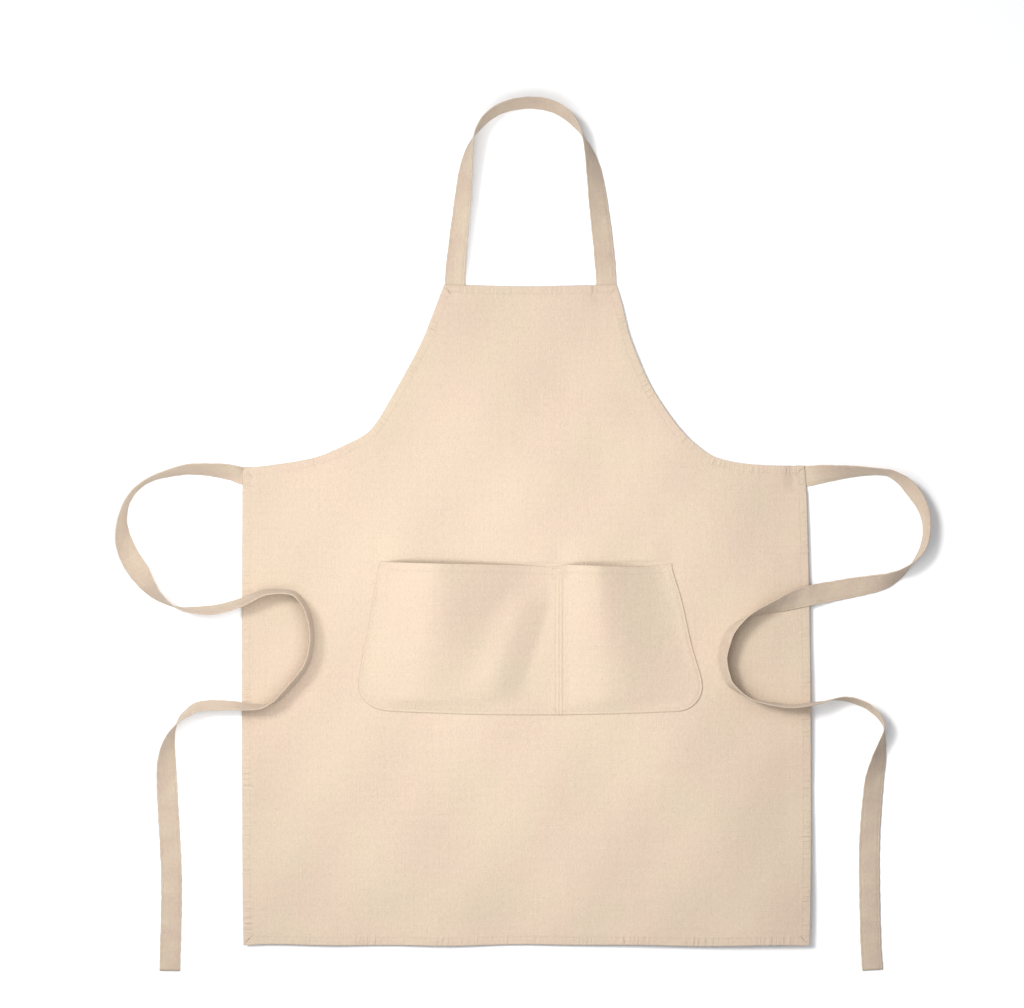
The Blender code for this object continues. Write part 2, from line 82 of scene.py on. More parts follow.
# The armholes, out and down from the bib's corners
LEFT_ARMHOLE = [(0, 0), (0.0160, 0.0421), (0.0297, 0.0749), (0.0507, 0.1139), (0.0686, 0.1454),
                (0.0836, 0.1700), (0.0989, 0.1859), (0.1286, 0.2010), (0.1538, 0.2115), (0.1774, 0.2171),
                (0.2016, 0.2208), (0.2325, 0.2250), (0.2489, 0.2257)]
RIGHT_ARMHOLE = [(0, 0), (0.0073, 0.0248), (0.0176, 0.0668), (0.0387, 0.1175), (0.0624, 0.1566),
                 (0.0834, 0.1836), (0.1016, 0.2000), (0.1174, 0.2106), (0.1340, 0.2165), (0.1623, 0.2214),
                 (0.1978, 0.2233), (0.2322, 0.2238)]
BIB_CORNERS = (-0.1002, 0.1132)
# The skirt's sides, down from the armholes' ends: how far out, and how far down
LEFT_SIDE = [(0.3491, 0.2257), (0.3498, 0.36), (0.3500, 0.50), (0.3494, 0.68), (0.3478, 0.8158)]
RIGHT_SIDE = [(0.3454, 0.2238), (0.3475, 0.2480), (0.3489, 0.2865), (0.3503, 0.3430), (0.3516, 0.41),
              (0.3526, 0.50), (0.3534, 0.66), (0.3522, 0.78), (0.3510, 0.8158)]


def smooth(t):
    """Rises from 0 to 1 with level ends."""
    t = np.clip(t, 0.0, 1.0)
    return t * t * (3 - 2 * t)


def bell(t):
    """1 at 0, falling off on both sides."""
    return np.exp(-t * t)


def curve_through(points, spacing):
    """Even stations on the Catmull-Rom curve through points; its length is measured in x and y."""
    p = np.asarray(points, float)
    p = np.vstack([2 * p[0] - p[1], p, 2 * p[-1] - p[-2]])
    t = np.linspace(0, 1, 24, endpoint=False)[:, None]
    a, b, c, d = (p[start:len(p) - 3 + start, None] for start in range(4))
    fine = 0.5 * (2 * b + (c - a) * t + (2 * a - 5 * b + 4 * c - d) * t ** 2
                  + (3 * b - a - 3 * c + d) * t ** 3)
    fine = np.vstack([fine.reshape(-1, p.shape[1]), p[-2]])
    run = np.concatenate([[0], np.cumsum(np.hypot(*np.diff(fine[:, :2], axis=0).T))])
    stations = np.linspace(0, run[-1], max(2, round(run[-1] / spacing) + 1))
    return np.stack([np.interp(stations, run, column) for column in fine.T], 1)


def along(line, stations):
    """Points on a line, in x and y, at distances from its start."""
    run = np.concatenate([[0], np.cumsum(np.hypot(*np.diff(line, axis=0).T))])
    return np.stack([np.interp(stations, run, column) for column in line.T], 1), run[-1]


def length_of(line):
    """Length of a line, in x and y."""
    return along(line, np.zeros(1))[1]


def stations_between(length, spacing, fine_start=False):
    """Distances from 0 to length: edge steps at the far end, and at the near one if it is an edge too, with
    even steps of about `spacing` between."""
    start = EDGE_STEPS if fine_start else np.zeros(1)
    end = length - EDGE_STEPS[::-1]
    count = max(2, round((end[0] - start[-1]) / spacing))
    return np.concatenate([start, np.linspace(start[-1], end[0], count + 1)[1:-1], end])


def across_rows(start, end, middle):
    """Points along each row from its start to its end: edge steps in from both, and `middle` even steps."""
    length = np.hypot(*(end - start).T)[:, None]
    share = np.concatenate([EDGE_STEPS / length,
                            np.linspace(EDGE_STEPS[-1] / length[:, 0], 1 - EDGE_STEPS[-1] / length[:, 0],
                                        middle + 1, axis=1)[:, 1:-1],
                            1 - EDGE_STEPS[::-1] / length], axis=1)[:, :, None]
    return start[:, None] * (1 - share) + end[:, None] * share


def edge_distance(points, outline):
    """Distance of points from a closed outline, and how far round it the nearest place is."""
    a = outline
    step = np.roll(outline, -1, axis=0) - a
    length = np.hypot(*step.T)
    start = np.concatenate([[0], np.cumsum(length)[:-1]])
    flat = points.reshape(-1, 2)
    distance = np.empty(len(flat))
    run = np.empty(len(flat))
    for first in range(0, len(flat), 4000):
        offset = flat[first:first + 4000, None] - a
        share = np.clip((offset * step).sum(2) / (length * length), 0, 1)
        gap = np.hypot(*np.moveaxis(offset - share[..., None] * step, 2, 0))
        near = gap.argmin(1)
        rows = np.arange(len(near))
        distance[first:first + 4000] = gap[rows, near]
        run[first:first + 4000] = start[near] + share[rows, near] * length[near]
    return distance.reshape(points.shape[:-1]), run.reshape(points.shape[:-1])


def mesh_object(name, points, faces):
    """A smooth mesh as an object in the scene."""
    mesh = bpy.data.meshes.new(name)
    mesh.from_pydata(points, [], faces)
    mesh.polygons.foreach_set("use_smooth", np.ones(len(faces), bool))
    mesh.update()
    obj = bpy.data.objects.new(name, mesh)
    bpy.context.scene.collection.objects.link(obj)
    return obj


def sheet_mesh(name, upper, lower, maps):
    """A closed sheet from two facing grids of points, (rows, columns, 3), joined round all four edges.

    maps holds UV maps by name, each (rows, columns, 2) and the same on both faces.
    """
    rows, columns = upper.shape[:2]
    around = 2 * columns
    rings = np.concatenate([upper, lower[:, ::-1]], axis=1)
    i, j = np.meshgrid(np.arange(rows - 1), np.arange(around), indexing="ij")
    k = (j + 1) % around
    sides = np.stack([i * around + j, i * around + k, (i + 1) * around + k, (i + 1) * around + j], -1)
    j = np.arange(columns - 1)
    first = np.stack([j, around - 1 - j, around - 2 - j, j + 1], -1)
    last = first[:, ::-1] + (rows - 1) * around
    faces = np.concatenate([sides.reshape(-1, 4), first, last])
    obj = mesh_object(name, rings.reshape(-1, 3), faces)
    for key, values in maps.items():
        whole = np.concatenate([values, values[:, ::-1]], axis=1).reshape(-1, 2)
        obj.data.uv_layers.new(name=key).data.foreach_set("uv", whole[faces.ravel()].ravel())
    return obj


def outline_points(out_and_down, side):
    """Distances out from the apron's middle line, and down from the bib's top, as places."""
    spots = np.asarray(out_and_down, float)
    return np.stack([side * spots[:, 0], TOP_Y - spots[:, 1]], 1)


def armhole(steps, side):
    """An armhole from the skirt's side up to the bib's corner."""
    corner = abs(BIB_CORNERS[0 if side < 0 else 1])
    spots = [(corner + out, down) for out, down in steps]
    return curve_through(outline_points(spots, side), 0.003)[::-1]


left_armhole = armhole(LEFT_ARMHOLE, -1)
right_armhole = armhole(RIGHT_ARMHOLE, 1)
left_side = curve_through(outline_points(LEFT_SIDE, -1), 0.003)[::-1]
right_side = curve_through(outline_points(RIGHT_SIDE, 1), 0.003)[::-1]


def bottom_sway(x):
    """The bottom hem isn't ruler-straight."""
    return 0.0007 * np.sin(x * 17 + 0.8) + 0.0005 * np.sin(x * 41 + 2.0)


def top_sway(x):
    """The bib's top hem sags a little between the two legs of the neck strap."""
    return -0.0017 * bell((x - 0.012) / 0.062)


def straight(start, end, sway):
    """An edge from its left corner to its right one, moved up or down by its sway."""
    x = np.linspace(start[0], end[0], 230)
    level = np.interp(x, [start[0], end[0]], [start[1], end[1]])
    ends = smooth((np.minimum(x - x.min(), x.max() - x)) / 0.03)
    return np.stack([x, level + sway(x) * ends], 1)


bottom_edge = straight(left_side[0], right_side[0], bottom_sway)
top_edge = straight(left_armhole[-1], right_armhole[-1], top_sway)
panel_outline = np.concatenate([bottom_edge[:-1], right_side[:-1], right_armhole[:-1], top_edge[::-1][:-1],
                                left_armhole[::-1][:-1], left_side[::-1][:-1]])

TABS = [(-0.3488 + TAB_LENGTH / 2, TIE_Y, TAB_LENGTH / 2 + 0.003, STRAP_WIDTH / 2),
        (0.3460 - TAB_LENGTH / 2, TIE_Y, TAB_LENGTH / 2 + 0.003, STRAP_WIDTH / 2),
        (NECK_MIDDLE - NECK_SPREAD, TOP_Y - TAB_LENGTH / 2, STRAP_WIDTH / 2, TAB_LENGTH / 2 + 0.003),
        (NECK_MIDDLE + NECK_SPREAD, TOP_Y - TAB_LENGTH / 2, STRAP_WIDTH / 2, TAB_LENGTH / 2 + 0.003)]


def cloth_lift(x, y):
    """How far the canvas stands off the floor: long shallow waves, the swell over the pocket's mouth, where
    the canvas dips in behind it, and the strap ends behind the hems."""
    waves = (0.0007 * (1 + np.sin(31 * x + 17 * y + 0.6)) + 0.0005 * (1 + np.sin(49 * x - 33 * y + 2.1))
             + 0.0003 * (1 + np.sin(15 * x + 71 * y + 4.0)))
    tabs = 0
    for middle_x, middle_y, half_x, half_y in TABS:
        tabs = tabs + (smooth((half_x + 0.010 - np.abs(x - middle_x)) / 0.010)
                       * smooth((half_y + 0.010 - np.abs(y - middle_y)) / 0.010))
    flat = 1 - np.clip(tabs, 0, 1)
    above = y - (MOUTH_Y - 0.0035 * (1 - (x / 0.182) ** 2))
    swell = (0.0017 * smooth((above + 0.001) / 0.0065) * (1 - smooth((above - 0.006) / 0.035))
             * smooth((0.184 - np.abs(x)) / 0.03) * (1 - 0.7 * bell((x - 0.043) / 0.014)))
    loose = (0.0036 * smooth((x + 0.02) / 0.34) * (1 + 0.6 * smooth(-y / 0.12))
             + 0.0046 * smooth((-0.34 - y) / 0.17))
    return (waves + swell + loose) * flat + TAB_RISE * (1 - flat)


def panel_faces(x, y, distance):
    """Heights of the underside and the top. The top carries on level over the hem's inner edge and sags
    beyond it; the hem's row of stitching draws it in."""
    folded = 1 - smooth((distance - HEM_WIDTH) / 0.0008)
    rise = (HEM - CLOTH) * (1 - smooth((distance - HEM_WIDTH) / 0.024))
    thick = CLOTH + (HEM - CLOTH) * folded
    under = cloth_lift(x, y) + rise * (1 - folded)
    top = under + thick
    top = (top - HEM_FURROW * bell((distance - HEM_ROW) / 0.0011)
           - HEM_STEP * smooth((distance - 0.0106) / 0.0016))
    round_off = np.sqrt(1 - (1 - np.clip(distance / 0.0008, 0, 1)) ** 2)
    middle = under + thick / 2
    return middle + (under - middle) * round_off, middle + (top - middle) * round_off


def panel_top(x, y):
    """Height of the canvas's face anywhere on the panel."""
    distance = edge_distance(np.stack([x, y], -1), panel_outline)[0]
    return panel_faces(x, y, distance)[1]


def slope_painted_shade(lift_at, spots, reach, gain, low, high):
    """Painted shade for a slope: how much lighter or darker the cloth's colour is made for its slope
    across, as a share, standing in for the light falling on it: `gain` times the slope measured `reach` to
    each side, kept between low and high."""
    x, y = spots[..., 0], spots[..., 1]
    return np.clip(gain * (lift_at(x + reach, y) - lift_at(x - reach, y)) / (2 * reach), low, high)


side_stations = stations_between(length_of(left_side), 0.0055, True)
mouth_station = MOUTH_Y - 0.0015 - left_side[0, 1]
side_stations = np.unique(np.concatenate([
    side_stations[np.abs(side_stations - mouth_station) > 0.0165],
    mouth_station + np.arange(-0.016, 0.0161, 0.0016)]))
arm_length = length_of(left_armhole)
arm_stations = stations_between(arm_length, 0.0035)
right_share = length_of(right_side) / side_stations[-1]
right_arm_share = length_of(right_armhole) / arm_length
row_start = np.concatenate([along(left_side, side_stations)[0], along(left_armhole, arm_stations[1:])[0]])
row_end = np.concatenate([along(right_side, side_stations * right_share)[0],
                          along(right_armhole, arm_stations[1:] * right_arm_share)[0]])
plan = across_rows(row_start, row_end, 100)
low_share = 1 - smooth((plan[..., 1] - plan[0, 0, 1]) / 0.12)
high_share = smooth((plan[..., 1] - TOP_Y + 0.05) / 0.05)
ends = smooth((np.minimum(plan[..., 0] - row_start[:, None, 0], row_end[:, None, 0] - plan[..., 0])) / 0.03)
plan[..., 1] += (bottom_sway(plan[..., 0]) * low_share + top_sway(plan[..., 0]) * high_share) * ends
hem_distance, hem_run = edge_distance(plan, panel_outline)
under, top = panel_faces(plan[..., 0], plan[..., 1], hem_distance)
# painted shade: the canvas's colour lighter or darker where its waves slope towards or away from the light,
# left out near the hems
painted_shade = slope_painted_shade(cloth_lift, plan, 0.003, 0.40, -0.022, 0.022) * smooth((hem_distance - 0.008) / 0.01)
panel = sheet_mesh("canvas_panel", np.dstack([plan, top]), np.dstack([plan, under]),
                   {"cloth": plan, "hem": np.dstack([hem_run, hem_distance]),
                    "painted_shade": np.dstack([painted_shade, painted_shade])})


class Wire:
    """A socket in a material. + - * on wires and numbers adds the Math nodes."""

    def __init__(self, tree, socket=None):
        self.tree = tree
        self.socket = socket

    def add(self, kind, settings, inputs, output=0):
        """A node of any kind: its settings first, then the values or links of its sockets."""
        node = self.tree.nodes.new(kind)
        for key, value in settings.items():
            setattr(node, key, value)
        for key, value in inputs.items():
            if isinstance(value, Wire):
                self.tree.links.new(value.socket, node.inputs[key])
            else:
                node.inputs[key].default_value = value
        return Wire(self.tree, node.outputs[output])

    def maths(self, operation, a, b=0.0, c=0.0):
        return self.add("ShaderNodeMath", {"operation": operation}, {0: a, 1: b, 2: c})

    def __add__(self, other):
        return self.maths("ADD", self, other)

    def __radd__(self, other):
        return self.maths("ADD", other, self)

    def __sub__(self, other):
        return self.maths("SUBTRACT", self, other)

    def __rsub__(self, other):
        return self.maths("SUBTRACT", other, self)

    def __mul__(self, other):
        return self.maths("MULTIPLY", self, other)

    def sine(self):
        return self.maths("SINE", self)

    def between(self, low, high):
        """0 below low, 1 above high, and smooth in the middle."""
        return self.add("ShaderNodeMapRange", {"interpolation_type": "SMOOTHSTEP"},
                        {0: self, 1: low, 2: high, 3: 0.0, 4: 1.0})

    def parts(self):
        split = self.tree.nodes.new("ShaderNodeSeparateXYZ")
        self.tree.links.new(self.socket, split.inputs[0])
        return [Wire(self.tree, socket) for socket in split.outputs]

    def stretched(self, x, y):
        return self.add("ShaderNodeMapping", {}, {"Vector": self, "Scale": (x, y, 1.0)})

    def noise(self, scale, detail=2.0, roughness=0.5):
        return self.add("ShaderNodeTexNoise", {"noise_dimensions": "2D"},
                        {"Vector": self, "Scale": scale, "Detail": detail, "Roughness": roughness})

    def tinted(self, colour, factor):
        """This colour, mixed towards another."""
        return self.add("ShaderNodeMix", {"data_type": "RGBA"}, {0: factor, 6: self, 7: colour}, 2)

    def times(self, factor):
        """This colour, made lighter or darker by a number."""
        return self.add("ShaderNodeVectorMath", {"operation": "SCALE"}, {0: self, "Scale": factor})


THREAD_PITCH = 0.0011        # two threads of the weave
CANVAS = (0.536, 0.434, 0.341)
CANVAS_ROSY = (0.556, 0.430, 0.346)
CANVAS_STRAW = (0.526, 0.438, 0.332)
SEED = (0.26, 0.17, 0.10)
SEED_SCALE = 75.0            # places a metre where a fleck may be


def canvas_material(name, shade, pucker, patch_scale=9.0, blotch=0.05, shade_painted=True):
    """Undyed plain-weave canvas: crossed threads, thick and thin yarns both ways, faint rosy and straw
    patches and a few flecks of cotton seed. pucker = (row, period, depth) gathers the cloth along rows of
    stitching, read from the map "hem" of (distance round the edge, distance in from it). With the last
    argument true, a UV map of slopes paints shade into the colour: lighter or darker where the cloth tilts
    towards or away from the light."""
    material = bpy.data.materials.new(name)
    material.use_nodes = True
    tree = material.node_tree
    shader = tree.nodes["Principled BSDF"]
    root = Wire(tree)
    cloth = root.add("ShaderNodeUVMap", {"uv_map": "cloth"}, {})
    u, v = cloth.parts()[:2]
    turns = 2 * math.pi / THREAD_PITCH
    weave = (u * turns).sine() * (v * turns).sine()
    warp = cloth.stretched(1100, 16).noise(1.0, 2.0, 0.6)
    weft = cloth.stretched(14, 1000).noise(1.0, 2.0, 0.6)
    coarse_warp = cloth.stretched(260, 5).noise(1.0, 1.0)
    coarse_weft = cloth.stretched(4, 240).noise(1.0, 1.0)
    patches = cloth.noise(patch_scale, 2.0)
    grain = cloth.noise(620.0, 2.0, 0.7)
    slub = cloth.stretched(420, 170).noise(1.0, 2.0, 0.6)
    crumple = cloth.noise(34.0, 3.0, 0.55)
    seeds, seed_pick = (root.add("ShaderNodeTexVoronoi", {"voronoi_dimensions": "2D"},
                                 {"Vector": cloth, "Scale": SEED_SCALE}, output)
                        for output in ("Distance", "Color"))
    seed_pick = seed_pick.parts()[0]
    seed = (1 - seeds.between(0.022, 0.040)) * seed_pick.between(0.76, 0.78)

    colour = root.add("ShaderNodeMix", {"data_type": "RGBA"},
                      {0: patches.between(0.35, 0.65), 6: (*CANVAS_ROSY, 1), 7: (*CANVAS_STRAW, 1)}, 2)
    colour = colour.tinted((*CANVAS, 1), 0.55)
    light = (1.0 + (warp - 0.5) * 0.07 + (weft - 0.5) * 0.06 + (coarse_warp - 0.5) * 0.03
             + (coarse_weft - 0.5) * 0.025 + (grain - 0.5) * 0.30 + (slub - 0.5) * 0.16 + weave * 0.03
             + (patches - 0.5) * blotch)
    # painted shade: the colour made lighter or darker from the slope map, for the light falling on the
    # cloth's slopes
    if shade_painted:
        light = light + root.add("ShaderNodeUVMap", {"uv_map": "painted_shade"}, {}).parts()[0]
    colour = colour.times(light * shade).tinted((*SEED, 1), seed * 0.7)
    tree.links.new(colour.socket, shader.inputs["Base Color"])

    height = (weave * 0.000035 + (warp - 0.5) * 0.00008 + (weft - 0.5) * 0.00007 + (crumple - 0.5) * 0.0010
              + (grain - 0.5) * 0.00024 + (slub - 0.5) * 0.00016)
    row, period, depth = pucker
    edge = root.add("ShaderNodeUVMap", {"uv_map": "hem"}, {})
    from_row = edge.parts()[1] - row
    gathers = edge.stretched(1 / period, 14).noise(1.0, 1.0).between(0.3, 0.7)
    strength = edge.stretched(22, 0.001).noise(1.0, 2.0).between(0.40, 0.62) * 0.85 + 0.15
    near = 1 - root.maths("ABSOLUTE", from_row).between(0.001, 0.0085)
    height = height + gathers * strength * near * depth
    bump = root.add("ShaderNodeBump", {}, {"Strength": 1.0, "Distance": 1.0, "Height": height})
    tree.links.new(bump.socket, shader.inputs["Normal"])
    shader.inputs["Roughness"].default_value = 0.92
    shader.inputs["Specular IOR Level"].default_value = 0.18
    shader.inputs["Sheen Weight"].default_value = 0.12
    shader.inputs["Sheen Roughness"].default_value = 0.5
    return material


panel.data.materials.append(canvas_material("canvas", 1.0, (0.006, 0.0048, 0.00085)))
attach(panel, "apron")
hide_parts("main_panel")

# ================================================================ the pocket
# One wide patch of the same canvas, sewn down round its sides and foot. A double row of stitching divides
# it into a wider left and a narrower right compartment. Its mouth is turned under and stands a little open.

POCKET_LEFT = [(-0.1688, -0.2346), (-0.1850, -0.2320), (-0.1968, -0.2250), (-0.2036, -0.2160),
               (-0.2057, -0.2020), (-0.2016, -0.1728), (-0.1929, -0.1282), (-0.1823, -0.0652),
               (-0.1793, -0.0501)]
POCKET_RIGHT = [(0.1905, -0.2346), (0.2020, -0.2320), (0.2125, -0.2240), (0.2187, -0.2110),
                (0.2177, -0.1938), (0.2058, -0.1517), (0.1938, -0.0981), (0.1830, -0.0621),
                (0.1813, -0.0520)]
DIVIDER_X = 0.0430
DIVIDER_ROW = 0.0042         # each of its two rows of stitching, out from the middle
TACK = (0.0085, 0.0120)      # the tack at its top: half its width, and its height
POCKET_FOLD = 0.0010         # two layers along the edges
POCKET_SEAM = 0.0030         # outer row of stitching, in from the edge
POCKET_OPEN = (0.0145, 0.0105)   # how far each compartment stands open at the mouth
POCKET_SKEW = (0.58, 0.60)   # below 1, its highest place is left of its middle
MOUTH_ROW = 0.0095           # row of stitching below the mouth
SEAM_FURROW = 0.00050        # how deep each row draws in
DIVIDER_FURROW = 0.00095
DIVIDER_GROOVE = 0.00060     # between the divider's two rows
TACK_FURROW = 0.00105
MOUTH_FURROW = 0.00014


def pocket_foot_sway(x):
    """The foot bows down in its middle."""
    return -0.0047 * (1 - ((x - 0.011) / 0.180) ** 2)


MOUTH_SAG = curve_through([(-0.1793, 0), (-0.12, -0.0014), (-0.05, -0.0025), (0.0, -0.0038),
                           (0.034, -0.0051), (0.043, -0.0046), (0.052, -0.0026), (0.08, -0.0030),
                           (0.110, -0.0040), (0.142, -0.0044), (0.168, -0.0022), (0.1813, 0)], 0.002)


def pocket_mouth_sway(x):
    """The mouth sags in each compartment and is held up just right of the divider."""
    return np.interp(x, MOUTH_SAG[:, 0], MOUTH_SAG[:, 1])


pocket_left = curve_through(POCKET_LEFT, 0.002)
pocket_right = curve_through(POCKET_RIGHT, 0.002)
left_length = length_of(pocket_left)
right_length = length_of(pocket_right)
pocket_stations = stations_between(left_length, 0.004)
pocket_start = along(pocket_left, pocket_stations)[0]
pocket_end = along(pocket_right, pocket_stations * right_length / left_length)[0]
share = (DIVIDER_X - pocket_start[:, 0]) / (pocket_end[:, 0] - pocket_start[:, 0])
divide = np.stack([np.full(len(share), DIVIDER_X),
                   pocket_start[:, 1] + share * (pocket_end[:, 1] - pocket_start[:, 1])], 1)
pocket_plan = np.concatenate([across_rows(pocket_start, divide, 40)[:, :-1],
                              across_rows(divide, pocket_end, 26)], axis=1)


def pocket_sway(x, y):
    """The foot's and the mouth's bow fade out towards the middle of the pocket."""
    foot = 1 - smooth((y + 0.2346) / 0.09)
    mouth = smooth((y + 0.11) / 0.058)
    return pocket_foot_sway(x) * foot + pocket_mouth_sway(x) * mouth


pocket_plan[..., 1] += pocket_sway(pocket_plan[..., 0], pocket_plan[..., 1])
pocket_rim = np.concatenate([pocket_plan[0], pocket_plan[1:, -1], pocket_plan[-1, ::-1][1:],
                             pocket_plan[::-1, 0][1:-1]])
# its sewn edge: down the left side, along the foot and up the right side
pocket_sewn = np.concatenate([pocket_plan[::-1, 0], pocket_plan[0, 1:], pocket_plan[1:, -1]])


def pocket_arch(x, y, mouth_distance, seam_distance):
    """How far the pocket stands off the panel. Each compartment rises steeply from its left seam and falls
    slowly to the right, most of all at the mouth; a soft fold runs down from the tack to the left."""
    left = np.interp(y, pocket_left[:, 1], pocket_left[:, 0])
    right = np.interp(y, pocket_right[:, 1], pocket_right[:, 0])
    open_share = 1 - 0.62 * smooth(mouth_distance / 0.17)
    lift = 0
    for start, end, height, skew in ((left, DIVIDER_X, POCKET_OPEN[0], POCKET_SKEW[0]),
                                     (DIVIDER_X, right, POCKET_OPEN[1], POCKET_SKEW[1])):
        share = np.clip((x - start) / (end - start), 0, 1)
        lift = lift + height * np.sin(math.pi * share ** skew) ** 2.2
    ridge = x - (-0.0195 + (y + 0.150) * 0.37)
    fold = 0.0022 * bell(ridge / 0.026) - 0.0008 * bell((ridge - 0.044) / 0.022)
    fold = fold * smooth((-0.072 - y) / 0.05) * smooth((y + 0.236) / 0.05)
    settle = smooth(seam_distance / 0.020)
    return settle * np.maximum(lift * open_share + fold, 0)


def pocket_faces(x, y, distance, seam_distance, mouth_distance):
    """Heights of the pocket's two faces. Rows of stitching sink furrows, and the allowance folded in
    behind fills out the edge."""
    base = cloth_lift(x, y) + CLOTH + AIR + pocket_arch(x, y, mouth_distance, seam_distance)
    folded = 1 - smooth((distance - 0.010) / 0.0012)
    ridge = np.abs(x - DIVIDER_X)
    box = np.maximum(ridge - TACK[0], np.abs(mouth_distance - 0.0025 - TACK[1] / 2) - TACK[1] / 2)
    below = smooth((mouth_distance - TACK[1] - 0.002) / 0.002)
    furrow = (SEAM_FURROW * bell((distance - POCKET_SEAM) / 0.0009)
              * smooth((mouth_distance - 0.002) / 0.002)
              + (DIVIDER_FURROW * bell((ridge - DIVIDER_ROW) / 0.0010)
                 + DIVIDER_GROOVE * bell((ridge - 0.0004) / 0.0007)) * below
              + TACK_FURROW * bell(box / 0.0009)
              + MOUTH_FURROW * bell((mouth_distance - MOUTH_ROW) / 0.0010))
    puff = (0.0009 * bell(ridge / 0.0075)
            + 0.0003 * smooth(distance / 0.0012) * (1 - smooth((distance - 0.004) / 0.010)))
    top = base + POCKET_FOLD + 0.0002 + puff - furrow
    under = top - CLOTH - (POCKET_FOLD - CLOTH) * folded
    under = np.maximum(under, base)
    round_off = np.sqrt(1 - (1 - np.clip(distance / 0.0007, 0, 1)) ** 2)
    middle = (under + top) / 2
    return middle + (under - middle) * round_off, middle + (top - middle) * round_off


def pocket_measures(points):
    """For places on the pocket: distance from the rim, from any seam (sides, foot, divider) and from the
    mouth, and how far along the nearest seam."""
    distance = edge_distance(points, pocket_rim)[0]
    mouth_line = pocket_plan[-1]
    mouth = np.interp(points[..., 0], mouth_line[:, 0], mouth_line[:, 1]) - points[..., 1]
    there_and_back = np.concatenate([pocket_sewn, pocket_sewn[::-1][1:-1]])
    seam, run = edge_distance(points, there_and_back)
    run = np.minimum(run, 2 * length_of(pocket_sewn) - run)
    divider = np.abs(points[..., 0] - DIVIDER_X)
    run = np.where(divider < seam, points[..., 1], run)
    return distance, np.minimum(seam, divider), np.maximum(mouth, 0), run


pocket_distance, seam_distance, mouth_distance, pocket_run = pocket_measures(pocket_plan)
under, top = pocket_faces(pocket_plan[..., 0], pocket_plan[..., 1], pocket_distance, seam_distance,
                          mouth_distance)
# painted shade: the pocket's colour darker where it falls away to the right from the light, a little
# lighter where it rises, left out near the seams
painted_shade = slope_painted_shade(lambda x, y: pocket_arch(x, y, mouth_distance, seam_distance), pocket_plan,
                  0.004, 1.0, -0.105, 0.020) * smooth((seam_distance - 0.003) / 0.016)
pocket = sheet_mesh("canvas_pocket", np.dstack([pocket_plan, top]), np.dstack([pocket_plan, under]),
                    {"cloth": pocket_plan + 0.37, "hem": np.dstack([pocket_run, seam_distance]),
                     "painted_shade": np.dstack([painted_shade, painted_shade])})
pocket.data.materials.append(canvas_material("pocket_canvas", 0.99, (0.004, 0.0055, 0.00014)))
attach(pocket, "apron")
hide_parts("pocket")

# ================================================================ the neck strap
# A strip of canvas folded to three layers and topstitched down both edges, about 25 mm wide. Its two ends
# are sewn behind the bib's top hem; the loop between them lies on its edge at the back of the neck.

STRAP_STATION = 0.003
STRAP_ROW = 0.0028           # topstitching, in from each edge
# Across as a share of the legs' spread, up as a share of the loop's height, and roll in degrees
NECK_LOOP_HEIGHT = 0.2245
NECK_ROUTE = [
    (-1.000, 0.000, 0), (-1.000, 0.030, -4), (-0.991, 0.088, -12), (-0.972, 0.176, -22),
    (-0.951, 0.264, -27), (-0.927, 0.353, -31), (-0.903, 0.441, -35), (-0.881, 0.529, -40),
    (-0.858, 0.617, -48),
    (-0.824, 0.705, -61), (-0.776, 0.782, -79), (-0.709, 0.848, -98), (-0.594, 0.910, -109),
    (-0.442, 0.958, -115), (-0.263, 0.986, -118), (-0.065, 0.999, -120), (0.134, 0.996, -121),
    (0.319, 0.975, -120), (0.484, 0.932, -115), (0.610, 0.874, -104), (0.702, 0.804, -84),
    (0.769, 0.733, -64), (0.819, 0.656, -47), (0.856, 0.573, -35), (0.888, 0.474, -25),
    (0.921, 0.366, -17), (0.956, 0.242, -9), (0.984, 0.121, -4), (1.000, 0.030, -1), (1.000, 0.000, 0),
]


def running_mean(values, reach):
    """Each value averaged with its neighbours up to `reach` places away; the ends hold their value."""
    padded = np.pad(values, reach, mode="edge")
    return np.convolve(padded, np.full(2 * reach + 1, 1 / (2 * reach + 1)), mode="valid")


def strap_frames(stations, floor_height, bridge=0):
    """Centre, across and face directions of a strap that stands on its lower edge: roll 0 lies flat with
    its face up, 90 stands on edge. across = cos(roll) left + sin(roll) up. Where it turns over quickly it
    is too stiff to touch down, and spans `bridge` stations each way."""
    roll = np.radians(stations[:, 2])
    lowest = floor_height + AIR + STRAP_THICK / 2 * np.abs(np.cos(roll))
    height = lowest + STRAP_WIDTH / 2 * np.sqrt(np.sin(roll) ** 2 + 0.0004)
    if bridge:
        clear = smooth((np.arange(len(height)) - 2.5 * bridge) / (2.0 * bridge))
        spanned = running_mean(running_mean(height, bridge), bridge)
        raised = running_mean(height + clear * np.maximum(spanned - height, 0), 2)
        height = np.maximum(raised * clear + height * (1 - clear), lowest)
    centre = np.column_stack([stations[:, :2], height])
    tangent = np.gradient(centre, axis=0)
    tangent /= np.linalg.norm(tangent, axis=1)[:, None]
    left = np.cross([0.0, 0.0, 1.0], tangent)
    left /= np.linalg.norm(left, axis=1)[:, None]
    up = np.cross(tangent, left)
    across = np.cos(roll)[:, None] * left + np.sin(roll)[:, None] * up
    return centre, across, np.cross(tangent, across)


# Half of the strap's section: distance out from its middle, as a share of half its width
SECTION = np.array([-1, -0.985, -0.95, -0.90, -0.85, -0.80, -0.775, -0.75, -0.70, -0.60, -0.40, -0.15, 0.15,
                    0.40, 0.60, 0.70, 0.75, 0.775, 0.80, 0.85, 0.90, 0.95, 0.985, 1])


